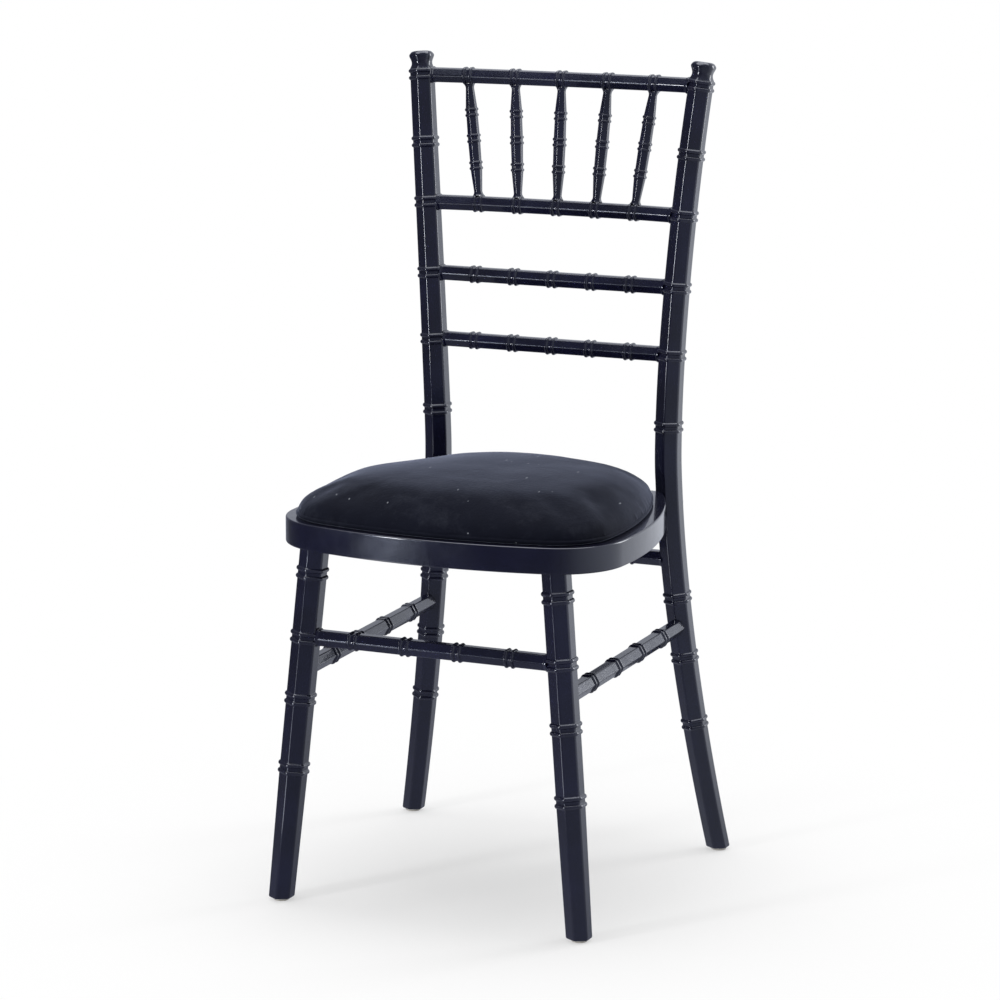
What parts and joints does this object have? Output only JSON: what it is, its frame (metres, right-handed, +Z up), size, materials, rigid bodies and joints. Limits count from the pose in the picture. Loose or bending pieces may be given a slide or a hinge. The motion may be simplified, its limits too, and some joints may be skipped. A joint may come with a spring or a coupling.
{
  "type": "chiavari chair",
  "caption": "Armless stacking dining chair with faceted bamboo-style members, a fanned spindle back and a loose padded velvet seat.",
  "frame": {"origin": "on the floor under the middle of the chair's outer box", "axes": "+Z up, the front of the chair faces -Y, +X is to the right when the chair is seen from its front"},
  "size_m": [0.4194, 0.4217, 0.9245],
  "materials": {
    "lacquered_wood": "hardwood under high gloss near-black lacquer with a blue cast",
    "painted_panel": "satin near-black painted plywood",
    "raw_plywood": "plain sanded birch plywood",
    "plain_beech": "unfinished beech",
    "plated_steel": "zinc plated",
    "dark_bolt": "steel bolt lacquered over with the chair, gloss",
    "glide_plastic": "pale nylon, satin",
    "hook_tape": "woven nylon hook and loop tape",
    "velvet": "dark navy velvet with a short pile",
    "foam": "cut polyurethane foam"
  },
  "bodies": {
    "frame": {"crest_rail": "lacquered_wood", "spindle_rail": "lacquered_wood", "upper_back_rail": "lacquered_wood", "lower_back_rail": "lacquered_wood", "rear_seat_rail": "lacquered_wood", "front_stretcher": "lacquered_wood", "side_stretcher_left": "lacquered_wood", "side_stretcher_right": "lacquered_wood", "rear_post_left": "lacquered_wood", "rear_post_right": "lacquered_wood", "front_leg_left": "lacquered_wood", "front_leg_right": "lacquered_wood", "spindle_1": "lacquered_wood", "spindle_2": "lacquered_wood", "spindle_3": "lacquered_wood", "spindle_4": "lacquered_wood", "spindle_5": "lacquered_wood", "seat_frame_front": "lacquered_wood", "seat_frame_rear": "lacquered_wood", "seat_frame_left": "lacquered_wood", "seat_frame_right": "lacquered_wood", "seat_panel": "painted_panel", "panel_screws": "plated_steel", "frame_tongues": "plain_beech", "seat_bolts": "dark_bolt", "foot_glides": "glide_plastic", "glide_nails": "plated_steel", "hook_strips": "hook_tape"},
    "pad": {"pad_cover": "velvet", "pad_foam": "foam", "pad_board": "raw_plywood", "loop_strips": "hook_tape"}
  },
  "joints": [
    {"name": "pad_lift", "type": "slide", "parent": "frame", "child": "pad", "axis": [0, 0, 1], "range_m": [0, 0.12]}
  ]
}
